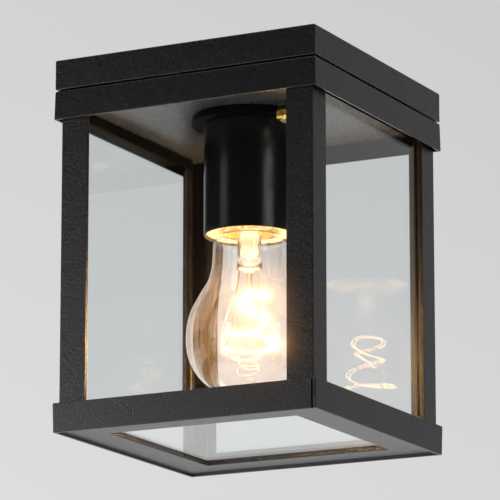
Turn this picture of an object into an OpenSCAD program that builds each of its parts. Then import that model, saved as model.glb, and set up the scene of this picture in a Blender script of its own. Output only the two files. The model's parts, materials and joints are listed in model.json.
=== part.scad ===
// Square porch ceiling lantern.
// A folded steel base screws to the ceiling. A two-part roof hangs from it on two
// studs with brass thumb nuts, and carries four corner angles, a recessed bottom
// ring, four clear side panes, a loose bottom glass, and a tubular shroud with an
// E27 lampholder and a clear filament lamp.
// Z = 0 is the ceiling face, the lantern hangs towards -Z, and X and Y run across
// the square. Millimetres.

/* [Housing] */
// Width and depth of the square housing
body_w = 140; // [134:1:160]
// Height from the ceiling face to the lower rim
total_h = 183; // [180:1:230]
// Thickness of the coated sheet steel
sheet_t = 1.4; // [1.2:0.1:1.6]
// Depth of the ceiling base tray
base_h = 14.7; // [14.4:0.1:18]
// Shadow gap between the base tray and the roof band
tier_gap = 0.6; // [0.4:0.1:1.2]
// Depth of the roof band
band_h = 14.4; // [13.6:0.1:18]
// Outward flare of the roof band at its lower edge
band_flare = 0.3; // [0.1:0.1:0.8]
// Depth of the bottom ring
ring_h = 14.3; // [12:0.1:18]
// Inward taper of the bottom ring at its lower edge
ring_taper = 0.3; // [0.1:0.1:0.6]
// Width of the square opening in the bottom ring
opening_w = 99.6; // [90:0.2:104]
// Width of the open slit at two corners of the bottom ring
slit_w = 0.85; // [0.4:0.05:1.5]

/* [Frame and glass] */
// Leg width of the corner angles
post_w = 14; // [11:0.5:16]
// Thickness of the side panes
pane_t = 3; // [2:0.5:4]
// Overlap of each side pane behind a corner angle
pane_lap = 4.2; // [3:0.1:5]
// Thickness of the glazing tape
tape_t = 0.9; // [0.5:0.1:1.2]
// Thickness of the bottom glass
bottom_t = 4; // [3:0.5:5]

/* [Shroud and lamp] */
// Outside diameter of the shroud tube
shroud_d = 44.5; // [44:0.5:50]
// Length of the shroud tube
shroud_l = 55.4; // [54.4:0.1:60]
// Diameter of the rosette under the roof plate
rosette_d = 56.6; // [50:0.2:57]
// Largest diameter of the lamp glass
lamp_d = 61.6; // [58:0.2:64]
// Turns of the lamp filament
filament_turns = 3; // [2:0.5:4]

/* [Fixings] */
// Spacing of the two ceiling screws
screw_spacing = 80; // [76:1:90]
// Diameter of the ceiling screw holes
screw_hole_d = 5; // [4:0.5:6]
// Diameter of the supply cable hole in the grommet
cable_d = 8.5; // [7:0.5:10]
// Thread diameter of the two studs
stud_d = 4; // [3:0.5:5]
// Knurled diameter of the thumb nuts
nut_d = 9.4; // [8:0.2:12]

/* [Hidden] */
$fn = 96;

// Levels from the ceiling down
a = body_w / 2;                       // half width of the housing
z_base = -base_h;                     // lower edge of the base tray
z_band = z_base - tier_gap;           // top of the roof band
z_brim = z_band - band_h;             // lower edge of the roof band
z_roof = z_brim + 8.5;                // underside of the roof plate
z_rim = -total_h;                     // lower edge of the bottom ring
z_ring = z_rim + ring_h;              // top edge of the bottom ring
z_seat = z_rim + 1.25 + sheet_t;      // top of the ring's flange, where the glass stands
z_shroud = z_roof - 3.8;              // underside of the rosette
z_lamp = z_shroud - 28.2;             // tip of the lamp's contact
z_cap = z_lamp - 26.5;                // lower rim of the lamp cap
z_ball = z_cap - 51.6;                // widest level of the lamp glass

// Half sizes across the square
band_in = a - sheet_t;                // inside of the roof band at its top
post_o = a - 2.5;                     // outer faces of the corner angles
post_i = post_o - sheet_t;            // inner faces of the corner angles
leg_end = post_o - post_w;            // free edges of the corner angles
pane_o = post_i - tape_t;             // outer faces of the side panes
pane_h = leg_end + pane_lap;          // half width of the side panes
glass_h = pane_o - pane_t - 0.5;      // half width of the bottom glass
ring_o = a - 0.23;                    // outside of the bottom ring at its top
stud_at = [30, -19.5];                // first stud, the second is opposite
nut_pitch = 0.7;                      // thread pitch of the studs

// Colours
black = [0.09, 0.09, 0.095];
brass = [0.80, 0.62, 0.25];
steel = [0.62, 0.63, 0.64];
glass = [0.78, 0.90, 0.88, 0.30];

// ---------- helpers ----------

// Solid block whose square section changes evenly from half width ht to hb
module block(ht, hb, zt, zb) {
  intersection() {
    rotate([90, 0, 0]) linear_extrude(4 * ht, center = true)
      polygon([[-ht, zt], [ht, zt], [hb, zb], [-hb, zb]]);
    rotate([90, 0, 90]) linear_extrude(4 * ht, center = true)
      polygon([[-ht, zt], [ht, zt], [hb, zb], [-hb, zb]]);
  }
}

// Upright cylinder between two levels
module rod(r, zt, zb) { translate([0, 0, zb]) cylinder(r = r, h = zt - zb); }

// The two stud positions
module at_studs() {
  for (s = [1, -1]) translate([s * stud_at[0], s * stud_at[1], 0]) children();
}

// Round tube of radius r swept along the points p
function unit(v) = v / norm(v);
function tangent(p, i) = unit(p[min(i + 1, len(p) - 1)] - p[max(i - 1, 0)]);
module sweep(p, r, n = 8, ref = [0, 0, 1]) {
  m = len(p);
  pts = [for (i = [0 : m - 1])
           let (t = tangent(p, i), u = unit(cross(t, ref)), v = cross(t, u))
           for (k = [0 : n - 1]) p[i] + r * (cos(360 * k / n) * u + sin(360 * k / n) * v)];
  sides = [for (i = [0 : m - 2]) for (k = [0 : n - 1])
             [i * n + k, (i + 1) * n + k, (i + 1) * n + (k + 1) % n, i * n + (k + 1) % n]];
  ends = [[for (k = [0 : n - 1]) k], [for (k = [n - 1 : -1 : 0]) (m - 1) * n + k]];
  polyhedron(points = pts, faces = concat(sides, ends), convexity = 4);
}

// Points of a path with its corners eased, for wires
function ease(p, k = 3) = concat([p[0]],
  [for (i = [1 : len(p) - 2])
     let (b = p[i], s = min(4, norm(b - p[i - 1]) / 2.2, norm(p[i + 1] - b) / 2.2),
          q0 = b - s * unit(b - p[i - 1]), q1 = b + s * unit(p[i + 1] - b))
     for (j = [0 : k]) let (f = j / k)
       (1 - f) * (1 - f) * q0 + 2 * f * (1 - f) * b + f * f * q1],
  [p[len(p) - 1]]);

// ---------- ceiling base and wiring ----------

// Shallow folded tray, open downwards, that screws to the ceiling
module ceiling_base() {
  color(black) difference() {
    translate([-a, -a, z_base]) cube([2 * a, 2 * a, base_h]);
    translate([-a + sheet_t, -a + sheet_t, z_base - 1])
      cube([2 * (a - sheet_t), 2 * (a - sheet_t), base_h - sheet_t + 1]);
    for (s = [1, -1]) translate([s * screw_spacing / 2, 0, -5])
      cylinder(d = screw_hole_d, h = 10);
    translate([0, -34, -5]) cylinder(r = cable_d / 2 + 2.8, h = 10);
    translate([-36, 26, -5]) cylinder(r = 1.7, h = 10);
  }
}

// Rubber bush that lines the cable hole
module cable_grommet() {
  r = cable_d / 2;
  color([0.12, 0.12, 0.12]) translate([0, -34, 0]) rotate_extrude()
    polygon([[r, 0], [r + 2.75, 0], [r + 2.75, -sheet_t], [r + 5, -sheet_t],
             [r + 5, -sheet_t - 1.8], [r + 2.2, -sheet_t - 2], [r + 1.6, -sheet_t - 5],
             [r, -sheet_t - 5]]);
}

// Three-way block that joins the supply to the lamp wires
block_y = 36;
module terminal_block() {
  color([0.93, 0.92, 0.88]) difference() {
    union() {
      translate([-15, block_y - 8, -sheet_t - 9.5]) cube([30, 16, 9.5]);
      for (i = [-1 : 1]) translate([i * 10 - 3.6, block_y - 8, -sheet_t - 11.6])
        cube([7.2, 16, 2.2]);
    }
    for (i = [-1 : 1]) {
      translate([i * 10, block_y - 9, -sheet_t - 6]) rotate([-90, 0, 0])
        cylinder(r = 1.7, h = 18);
      for (s = [1, -1]) translate([i * 10, block_y + s * 4.4, -sheet_t - 12])
        cylinder(r = 1.75, h = 6);
    }
  }
}
module terminal_screws() {
  color(steel) for (i = [-1 : 1]) for (s = [1, -1])
    translate([i * 10, block_y + s * 4.4, -sheet_t - 10.8]) difference() {
      cylinder(r = 1.6, h = 3.2);
      translate([-2, -0.3, -0.1]) cube([4, 0.6, 0.8]);
    }
}

// Earth terminal of the metal housing
module earth_lug() {
  color(brass) difference() {
    union() {
      translate([-36, 26, -sheet_t - 0.7]) cylinder(r = 4, h = 0.7);
      translate([-36, 24.4, -sheet_t - 0.7]) cube([9, 3.2, 0.7]);
    }
    translate([-36, 26, -5]) cylinder(r = 2.1, h = 10);
  }
}
module earth_screw() {
  color(brass) translate([-36, 26, 0]) difference() {
    union() {
      rod(1.65, -0.1, -sheet_t - 0.7);
      rod(3.4, -sheet_t - 0.7, -sheet_t - 3);
    }
    translate([-4, -0.4, -sheet_t - 3.1]) cube([8, 0.8, 1.1]);
  }
}

// Two studs welded under the base plate
module mounting_studs() {
  color(steel) at_studs() {
    rod(stud_d / 2, -sheet_t - 0.5, z_roof - 10.4);
    rod(stud_d / 2 + 2.4, -sheet_t, -sheet_t - 1);
  }
}

// Sleeves that set the roof's height under the base
module spacer_sleeves() {
  color(steel) at_studs() difference() {
    rod(stud_d / 2 + 2, -sheet_t - 1, z_band);
    rod(stud_d / 2 + 0.15, 0, z_band - 1);
  }
}

// Lamp wires, from the block through the nipple into the lampholder
wire_r = 1.1;
z_in = -sheet_t - 6;                  // level of the block's wire holes
z_floor = z_shroud - 24.5;            // floor over the lampholder's socket
module live_wire() {
  color([0.42, 0.22, 0.10]) sweep(ease([[0, block_y - 7.5, z_in], [-0.8, 20, z_in - 1.5],
    [-1.5, 0, z_in - 1.5], [-1.5, 0, z_shroud - 10], [-6, 0, z_floor + 4],
    [-6, 0, z_floor + 0.1]]), wire_r, 8, unit([1, 0.35, 0.1]));
}
module neutral_wire() {
  color([0.12, 0.28, 0.60]) sweep(ease([[10, block_y - 7.5, z_in], [10, 18, z_in - 1.5],
    [1.5, 0, z_in - 1.5], [1.5, 0, z_shroud - 10], [10.8, 0, z_floor + 4.5],
    [10.8, 0, z_floor + 0.1]]), wire_r, 8, unit([1, -0.45, -0.1]));
}
module earth_wire() {
  color([0.45, 0.60, 0.15]) sweep(ease([[-10, block_y - 7.5, z_in], [-12, 21, z_in],
    [-20, 20, -sheet_t - 2.6], [-25, 26, -sheet_t - 1.9], [-27.4, 26, -sheet_t - 1.7]]),
    wire_r * 0.9, 8, unit([0.2, 0.1, 1]));
}

// ---------- roof ----------

// Folded band around the roof, with its top closed
module roof_band() {
  top_z = z_band - sheet_t;
  color(black) difference() {
    block(a, a + band_flare, z_band, z_brim);
    intersection() {
      block(band_in, band_in + band_flare * 1.3, z_band, z_brim - 1);
      translate([-2 * a, -2 * a, z_brim - 2]) cube([4 * a, 4 * a, top_z - z_brim + 2]);
    }
    rod(5.1, z_band + 1, top_z - 1);
    at_studs() rod(stud_d / 2 + 0.3, z_band + 1, top_z - 1);
  }
}

// Plate under the band's top, with an upturned edge
module roof_plate() {
  h = band_in - 0.7;
  top_z = z_band - sheet_t;
  color(black) difference() {
    translate([-h, -h, z_roof]) cube([2 * h, 2 * h, top_z - z_roof]);
    translate([-h + sheet_t, -h + sheet_t, z_roof + sheet_t])
      cube([2 * (h - sheet_t), 2 * (h - sheet_t), 20]);
    rod(5.1, z_roof + 5, z_roof - 1);
    at_studs() rod(stud_d / 2 + 0.3, z_roof + 5, z_roof - 1);
  }
}

// Hollow threaded nipple that carries the lampholder, and its nut
module nipple() {
  color(steel) difference() {
    rod(5, z_band + 4, z_shroud - 8);
    rod(3.6, z_band + 5, z_shroud - 9);
  }
}
module nipple_nut() {
  color(steel) difference() {
    translate([0, 0, z_band]) cylinder(r = 8.1, h = 3, $fn = 6);
    translate([0, 0, z_band - 1]) cylinder(r = 5, h = 5);
  }
}

// ---------- shroud and lampholder ----------

module rosette() {
  color(black) difference() {
    rod(rosette_d / 2, z_roof, z_shroud);
    rod(5.1, z_roof + 1, z_shroud - 1);
  }
}

// Tube with a wall w, bored out at its mouth for the lampholder's rim
module shroud() {
  w = 1.4;
  r = shroud_d / 2;
  color(black) difference() {
    rod(r, z_shroud, z_shroud - shroud_l);
    rod(r - w, z_shroud - w, z_shroud - shroud_l - 1);
    rod(r - w / 2, z_shroud - shroud_l + 8.4, z_shroud - shroud_l - 1);
    rod(5.1, z_shroud + 1, z_shroud - 5);
  }
}

holder_r = 19.2;
z_mouth = z_shroud - 54;              // lower face of the lampholder
module lampholder_body() {
  color([0.88, 0.86, 0.80]) difference() {
    union() {
      rod(holder_r, z_shroud - 9, z_mouth);
      rod(shroud_d / 2 - 0.9, z_mouth + 6, z_mouth);
      rod(holder_r - 6, z_shroud - 1.4, z_shroud - 9);
    }
    rod(5.05, z_shroud, z_shroud - 8.2);
    rod(10.4, z_shroud - 8.1, z_shroud - 13);
    rod(13, z_shroud - 13, z_floor + 3.2);
    translate([-6, 0, 0]) rod(1.4, z_floor + 5, z_floor - 1);
    translate([10.8, 0, 0]) rod(1.4, z_floor + 5, z_floor - 1);
    rod(15.2, z_floor, z_mouth - 1);
  }
}

// Rolled brass shell of the socket
shell_top = z_floor;
shell_bot = z_mouth + 2.5;
module thread_shell() {
  n = 40;
  h = shell_top - 2.4 - shell_bot - 1.2;
  function wave(f) = 14.35 - 0.4 * cos(360 * f * h / 3.629);
  outer = [for (i = [0 : n]) [wave(i / n), shell_top - 2.4 - h * i / n]];
  inner = [for (i = [n : -1 : 0]) [wave(i / n) - 0.5, shell_top - 2.4 - h * i / n]];
  color(brass) difference() {
    rotate_extrude() polygon(concat([[9, shell_top], [14.3, shell_top]], outer,
      [[14.9, shell_bot], [14.4, shell_bot]], inner,
      [[13.5, shell_top - 0.5], [9, shell_top - 0.5]]));
  }
}

// Sprung tongue that meets the lamp's contact
module centre_contact() {
  color(brass) {
    translate([-7.6, -2.5, z_floor - 0.6]) cube([12, 5, 0.6]);
    rod(2.4, z_floor - 0.6, z_lamp + 0.05);
  }
}

// ---------- frame, panes and glazing ----------

// Corner angle with its outer corner at +X -Y
module post() {
  translate([post_o - post_w, -post_o, z_seat]) cube([post_w, sheet_t, z_roof - z_seat]);
  translate([post_o - sheet_t, -post_o, z_seat]) cube([sheet_t, post_w, z_roof - z_seat]);
}
module post_front_right() { color(black) post(); }
module post_back_right() { color(black) rotate(90) post(); }
module post_back_left() { color(black) rotate(180) post(); }
module post_front_left() { color(black) rotate(270) post(); }

// Recessed ring that carries the glass. Two opposite corners are left open.
module bottom_ring() {
  color(black) difference() {
    block(ring_o, ring_o - ring_taper, z_ring, z_rim);
    intersection() {
      block(ring_o - sheet_t, ring_o - sheet_t - ring_taper, z_ring, z_rim);
      union() {
        translate([-a, -a, z_seat]) cube([2 * a, 2 * a, ring_h]);
        translate([-a, -a, z_rim - 5]) cube([2 * a, 2 * a, 5 + 1.25]);
      }
    }
    translate([-opening_w / 2, -opening_w / 2, z_rim - 1])
      cube([opening_w, opening_w, ring_h]);
    for (s = [0, 180]) rotate(s)
      translate([ring_o - sheet_t - ring_taper - slit_w, -a - 1, z_rim - 1])
        cube([slit_w, sheet_t + 1.2, ring_h + 2]);
  }
}

// Clear side panes that stand on the ring's flange
module pane() {
  translate([-pane_h, -pane_o, z_seat]) cube([2 * pane_h, pane_t, z_roof - 1 - z_seat]);
}
module pane_front() { color(glass) pane(); }
module pane_right() { color(glass) rotate(90) pane(); }
module pane_back() { color(glass) rotate(180) pane(); }
module pane_left() { color(glass) rotate(270) pane(); }

// Eight strips that bed the panes against the corner angles
module glazing_tape() {
  color([0.12, 0.10, 0.08]) for (q = [0 : 90 : 270]) rotate(q) for (s = [0, 1])
    mirror([s, 0, 0]) translate([leg_end, -post_i, z_seat + 1])
      cube([pane_lap - 0.3, tape_t, z_roof - 2 - z_seat - 1]);
}

// Loose glass on the ring's flange
module bottom_glass() {
  color(glass) translate([-glass_h, -glass_h, z_seat])
    cube([2 * glass_h, 2 * glass_h, bottom_t]);
}

// ---------- thumb nuts ----------

z_wash = z_roof - 2.4;                // underside of the sealing washers
z_nut = z_wash - 1.2;                 // top of the thumb nuts
module seal_washers() {
  color([0.06, 0.06, 0.06]) at_studs() difference() {
    rod(nut_d / 2 - 0.6, z_roof, z_wash);
    rod(stud_d / 2 + 0.2, z_roof + 1, z_wash - 1);
  }
}
module washer() {
  difference() {
    rod(nut_d / 2 - 0.4, z_wash, z_nut);
    rod(stud_d / 2 + 0.2, z_wash + 1, z_nut - 1);
  }
}
module washer_a() { color(black) translate([stud_at[0], stud_at[1], 0]) washer(); }
module washer_b() { color(black) translate([-stud_at[0], -stud_at[1], 0]) washer(); }

// Knurled nut with chamfered ends
module thumb_nut() {
  r = nut_d / 2;
  n = 30;
  h = 5.8;
  difference() {
    intersection() {
      translate([0, 0, z_nut - h]) linear_extrude(h)
        polygon([for (i = [0 : 2 * n - 1])
                   (r - (i % 2) * 0.35) * [cos(180 * i / n), sin(180 * i / n)]]);
      translate([0, 0, z_nut]) rotate_extrude()
        polygon([[0, 0], [r - 1.2, 0], [r + 0.1, -1.5], [r + 0.1, -h + 1.5],
                 [r - 1.6, -h], [0, -h]]);
    }
    rod(stud_d / 2 + 0.1, z_nut + 1, z_nut - h - 1);
  }
}
module thumb_nut_a() { color(brass) translate([stud_at[0], stud_at[1], 0]) thumb_nut(); }
module thumb_nut_b() { color(brass) translate([-stud_at[0], -stud_at[1], 0]) thumb_nut(); }

// ---------- lamp ----------

// Solder contact on the tip of the cap
module bulb_contact() {
  color(steel) translate([0, 0, z_lamp]) rotate_extrude()
    polygon([[0, 0], [2.6, -0.1], [4.2, -0.5], [4.7, -1.0], [0, -1.0]]);
}

// Dark glass button between the contact and the shell
module cap_insulator() {
  color([0.05, 0.05, 0.06]) translate([0, 0, z_lamp]) rotate_extrude()
    polygon([[0, -1.05], [5.2, -1.05], [9.6, -3.5], [9.6, -4.5], [0, -4.5]]);
}

// Threaded cap shell
module bulb_cap() {
  n = 36;
  zt = z_lamp - 5.2;
  h = 18.4;
  function wave(f) = 12.75 - 0.35 * cos(360 * f * h / 3.629);
  outer = [for (i = [0 : n]) [wave(i / n), zt - h * i / n]];
  inner = [for (i = [n : -1 : 0]) [wave(i / n) - 0.4, zt - h * i / n]];
  color(steel) rotate_extrude()
    polygon(concat([[9.7, z_lamp - 3.4], [10.4, z_lamp - 3.4], [12.2, z_lamp - 4.9]], outer,
      [[13.3, z_lamp - 24.4], [13.3, z_cap], [12.9, z_cap], [12.9, z_lamp - 24.4]], inner,
      [[11.8, z_lamp - 5.3], [9.7, z_lamp - 3.9]]));
}

// Clear glass envelope: a neck that opens into a slightly flattened ball
neck_points = [[11.4, 14], [11.5, 1], [13.2, -0.4], [15.6, -1.6], [17.1, -3.4],
               [17.7, -6], [17.9, -11], [18.2, -15], [19, -19], [20.2, -23],
               [22.3, -27], [24.7, -31], [26.9, -35.2], [28.7, -39.4],
               [30, -43.6], [30.6, -47.4]];
module envelope(t) {
  k = lamp_d / 61.6;
  low = [for (d = [0 : 5 : 90]) [(lamp_d / 2 - t) * pow(cos(d), 0.93),
                                  z_ball - (29.6 - t) * pow(sin(d), 0.93)]];
  side = [for (p = neck_points)
            [(p[1] < -12 ? p[0] * k : p[0]) - t, z_cap + p[1]]];
  rotate_extrude() polygon(concat([[0, z_cap + 14 + (t > 0 ? 1 : 0)],
    [side[0][0], z_cap + 14 + (t > 0 ? 1 : 0)]], side, low));
}
module bulb_glass() {
  color(glass) difference() { envelope(0); envelope(0.8); }
}

// Glass stem with its flare and centre rod
module bulb_stem() {
  color(glass) translate([0, 0, z_cap]) rotate_extrude()
    polygon([[0, 8], [10.2, 8], [10.2, 7], [7.4, 3], [6.1, -1], [5.8, -4], [5.8, -15],
             [5.2, -17.2], [3.6, -18.3], [1.4, -18.7], [1.3, -28], [2.1, -28.6],
             [2.1, -29.8], [1.2, -30.6], [0, -30.6]]);
}

// Coiled filament: it rises round the middle from one lead, and comes down in
// widening turns to the other
z_fil = z_cap - 29.3;
fil_turn = 27.3;                      // heading of the filament's first point
across = [cos(fil_turn), sin(fil_turn), 0];
out = [sin(fil_turn), -cos(fil_turn), 0];
function fil_s(t) = max(0, (t - 1 / 3) * 1.5);
function fil_grow(s) = let (f = min(1, max(0, (s - 0.35) / 0.35))) f * f * (3 - 2 * f);
function fil_r(t) = t < 1 / 3 ? 4.6 + 3.6 * sin(270 * t)
                  : let (s = fil_s(t)) 8.2 - 0.9 * sin(180 * min(1, s / 0.45)) + 5 * fil_grow(s);
function fil_z(t) = t < 1 / 3 ? -15 * pow(1 - 3 * t, 2)
                  : -26.8 * pow(sin(90 * pow(fil_s(t), 0.85)), 1.5);
function fil_p(t) = let (w = fil_turn + 360 * (filament_turns + 0.5) * t)
  [fil_r(t) * cos(w), fil_r(t) * sin(w), z_fil + fil_z(t)];
module filament() {
  m = 84;
  color([1.0, 0.75, 0.35]) translate([1.2, 0.6, 0])
    sweep([for (i = [0 : m]) fil_p(i / m)], 0.45, 6);
}

// Lead wires from the stem to the ends of the filament
function lead_p(x, y, z) = x * across + y * out + [0, 0, z_cap - z];
module lead_wires() {
  first = fil_p(0) + [1.2, 0.6, 0.8];
  last = fil_p(1) + [1.2, 0.6, 0.8];
  color(steel) {
    sweep([lead_p(4.6, 0, 17.8), lead_p(4.9, 0, 24), lead_p(5.4, 0, 38), first],
          0.3, 6, unit([0.3, 1, 0.1]));
    sweep([lead_p(-4.6, 0, 17.8), lead_p(-5.3, 2.6, 23.3), lead_p(-6.3, 5.5, 30.3),
           lead_p(-7.3, 6.2, 40.3), lead_p(-8.2, 5.2, 49.3), lead_p(-10.6, 1.6, 53.9), last],
          0.3, 6, unit([0.3, 1, 0.1]));
  }
}

// ---------- assembly ----------
ceiling_base();
cable_grommet();
terminal_block();
terminal_screws();
earth_lug();
earth_screw();
mounting_studs();
spacer_sleeves();
live_wire();
neutral_wire();
earth_wire();
roof_band();
roof_plate();
nipple();
nipple_nut();
rosette();
shroud();
lampholder_body();
thread_shell();
centre_contact();
post_front_left();
post_front_right();
post_back_left();
post_back_right();
bottom_ring();
pane_front();
pane_right();
pane_back();
pane_left();
glazing_tape();
seal_washers();
bottom_glass();
washer_a();
washer_b();
thumb_nut_a();
thumb_nut_b();
bulb_contact();
bulb_cap();
cap_insulator();
bulb_glass();
bulb_stem();
filament();
lead_wires();
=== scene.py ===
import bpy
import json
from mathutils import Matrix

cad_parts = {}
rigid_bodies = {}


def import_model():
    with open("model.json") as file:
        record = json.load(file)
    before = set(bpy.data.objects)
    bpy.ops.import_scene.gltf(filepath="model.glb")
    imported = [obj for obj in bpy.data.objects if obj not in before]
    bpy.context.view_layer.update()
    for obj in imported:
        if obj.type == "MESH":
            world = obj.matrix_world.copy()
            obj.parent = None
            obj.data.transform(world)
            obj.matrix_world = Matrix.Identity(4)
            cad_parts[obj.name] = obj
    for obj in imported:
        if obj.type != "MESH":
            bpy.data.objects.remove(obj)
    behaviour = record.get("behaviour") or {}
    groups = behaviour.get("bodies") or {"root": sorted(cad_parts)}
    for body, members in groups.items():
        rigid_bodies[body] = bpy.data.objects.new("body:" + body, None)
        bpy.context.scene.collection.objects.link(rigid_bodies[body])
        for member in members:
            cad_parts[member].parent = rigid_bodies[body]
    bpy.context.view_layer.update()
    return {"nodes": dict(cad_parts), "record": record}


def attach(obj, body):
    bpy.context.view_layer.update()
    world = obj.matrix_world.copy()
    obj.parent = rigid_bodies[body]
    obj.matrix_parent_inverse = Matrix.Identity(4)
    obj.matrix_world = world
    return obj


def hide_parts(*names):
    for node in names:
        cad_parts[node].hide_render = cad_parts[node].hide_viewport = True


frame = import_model()

import json
import math

import bmesh
import bpy
from mathutils import Vector

MM = 0.001
scene = bpy.context.scene

# ------------------------------------------------------------------ camera
cam_data = bpy.data.cameras.new("camera")
cam = bpy.data.objects.new("camera", cam_data)
scene.collection.objects.link(cam)
scene.camera = cam
cam_data.sensor_width = 36.0
cam_data.lens = 281.66
cam_data.clip_start, cam_data.clip_end = 0.05, 60.0
cam.location = (0.85036, -1.64656, -0.52006)
aim = Vector((0.000026, -0.000561, -0.08721))
cam.rotation_mode = "QUATERNION"
cam.rotation_quaternion = (aim - cam.location).to_track_quat("-Z", "Y")


# ------------------------------------------------------------------ materials
class Nodes:
    """A small helper round one node tree."""

    def __init__(self, tree):
        self.t = tree
        tree.nodes.clear()

    def add(self, kind, ins=None, **props):
        n = self.t.nodes.new(kind)
        for k, v in props.items():
            setattr(n, k, v)
        for k, v in (ins or {}).items():
            self.put(n, k, v)
        return n

    def put(self, n, key, v):
        sock = n.inputs[key]
        if isinstance(v, bpy.types.NodeSocket):
            self.t.links.new(v, sock)
        else:
            sock.default_value = v

    def ramp(self, fac, stops, interp="LINEAR"):
        n = self.add("ShaderNodeValToRGB", {"Fac": fac})
        r = n.color_ramp
        r.interpolation = interp
        while len(r.elements) < len(stops):
            r.elements.new(0.5)
        for e, (p, c) in zip(r.elements, stops):
            e.position = p
            e.color = (c, c, c, 1) if isinstance(c, (int, float)) else (*c, 1)
        return n.outputs["Color"]

    def span(self, fac, lo, hi, a=0.0, b=1.0):
        n = self.add("ShaderNodeMapRange", {"Value": fac, "From Min": a, "From Max": b,
                                            "To Min": lo, "To Max": hi})
        return n.outputs["Result"]

    def math(self, op, a, b=0.0, clamp=False):
        n = self.add("ShaderNodeMath", {0: a, 1: b}, operation=op)
        n.use_clamp = clamp
        return n.outputs[0]

    def noise(self, vec, scale, detail=2.0, rough=0.5, dist=0.0):
        n = self.add("ShaderNodeTexNoise", {"Vector": vec, "Scale": scale, "Detail": detail,
                                            "Roughness": rough, "Distortion": dist})
        return n.outputs["Fac"]

    def bump(self, height, strength, distance):
        return self.add("ShaderNodeBump", {"Height": height, "Strength": strength,
                                           "Distance": distance}).outputs["Normal"]


def material(name):
    m = bpy.data.materials.new(name)
    m.use_nodes = True
    k = Nodes(m.node_tree)
    out = k.add("ShaderNodeOutputMaterial")
    where = k.add("ShaderNodeTexCoord").outputs["Object"]
    bsdf = k.add("ShaderNodeBsdfPrincipled")
    k.put(out, "Surface", bsdf.outputs[0])
    return m, k, bsdf, where, out


def powder_coat(name="powder_coat", dark=(0.0014, 0.0012, 0.0011), mid=(0.0024, 0.0020, 0.0019),
                light=(0.0042, 0.0037, 0.0036), gloss=0.46, painted_shade_inside=0.0,
                rough=(0.25, 0.33), grainy=0.95):
    """Fine textured satin black powder coat: low rounded lumps under a finer grain.

    The half width given for the inside is that of the housing's inner face: within it the coat is made dull, so that it
    gives back little light, as painted shade."""
    m, k, b, where, _ = material(name)
    lumps = k.noise(where, 1150, 2.0, 0.55)
    grain = k.noise(where, 3100, 1.0, 0.5)
    drift = k.noise(where, 22, 3.0, 0.5)
    height = k.math("ADD", k.math("MULTIPLY", lumps, 0.72), k.math("MULTIPLY", grain, 0.28))
    tone = k.math("ADD", k.math("MULTIPLY", lumps, 0.6), k.math("MULTIPLY", drift, 0.4))
    k.put(b, "Base Color", k.ramp(tone, [(0.30, dark), (0.55, mid), (0.75, light)]))
    # painted shade: inside the given half width the coat keeps almost no gloss
    if painted_shade_inside:
        at = k.add("ShaderNodeSeparateXYZ", {0: where})
        wide = k.math("MAXIMUM", k.math("ABSOLUTE", at.outputs[0]), k.math("ABSOLUTE", at.outputs[1]))
        k.put(b, "Specular IOR Level", k.span(wide, 0.06, gloss, painted_shade_inside - 0.0002, painted_shade_inside + 0.0002))
    else:
        b.inputs["Specular IOR Level"].default_value = gloss
    k.put(b, "Roughness", k.span(height, rough[0], rough[1], 0.3, 0.7))
    k.put(b, "IOR", 1.5)
    k.put(b, "Normal", k.bump(height, grainy, 0.00020))
    return m


def rubber():
    m, k, b, where, _ = material("rubber")
    n = k.noise(where, 900, 3.0)
    k.put(b, "Base Color", k.ramp(n, [(0.3, 0.010), (0.7, 0.018)]))
    k.put(b, "Roughness", k.span(n, 0.62, 0.8))
    k.put(b, "Normal", k.bump(n, 0.3, 0.0001))
    return m


def shade_strip_rubber():
    """Matt black strip that gives back almost nothing: painted shadow along the panes' top edges."""
    m, k, b, where, _ = material("seal_rubber_painted_shadow")
    n = k.noise(where, 900, 3.0)
    k.put(b, "Base Color", k.ramp(n, [(0.3, (0.0018, 0.0016, 0.0014)), (0.7, (0.0030, 0.0026, 0.0023))]))
    k.put(b, "Roughness", k.span(n, 0.8, 0.95))
    b.inputs["Specular IOR Level"].default_value = 0.03
    k.put(b, "Normal", k.bump(n, 0.2, 0.0001))
    return m


def plastic(name, dark, light, lo=0.35, hi=0.5, scale=350):
    m, k, b, where, _ = material(name)
    n = k.noise(where, scale, 3.0)
    k.put(b, "Base Color", k.ramp(n, [(0.3, dark), (0.7, light)]))
    k.put(b, "Roughness", k.span(n, lo, hi))
    k.put(b, "Normal", k.bump(k.noise(where, scale * 4, 2.0), 0.12, 0.00006))
    return m


def metal(name, dark, light, lo, hi, scale=500, stretch=(1, 1, 1), strength=0.15):
    m, k, b, where, _ = material(name)
    v = k.add("ShaderNodeMapping", {"Vector": where, "Scale": stretch}).outputs[0]
    n = k.noise(v, scale, 4.0, 0.6)
    k.put(b, "Base Color", k.ramp(n, [(0.25, dark), (0.75, light)]))
    k.put(b, "Metallic", 1.0)
    k.put(b, "Roughness", k.span(n, lo, hi))
    k.put(b, "Normal", k.bump(n, strength, 0.00004))
    return m


def porcelain():
    m, k, b, where, _ = material("porcelain")
    n = k.noise(where, 60, 3.0)
    k.put(b, "Base Color", k.ramp(n, [(0.3, (0.78, 0.70, 0.54)), (0.7, (0.85, 0.78, 0.62))]))
    k.put(b, "Roughness", k.span(n, 0.16, 0.26))
    k.put(b, "Normal", k.bump(k.noise(where, 420, 2.0), 0.1, 0.0001))
    return m


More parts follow.
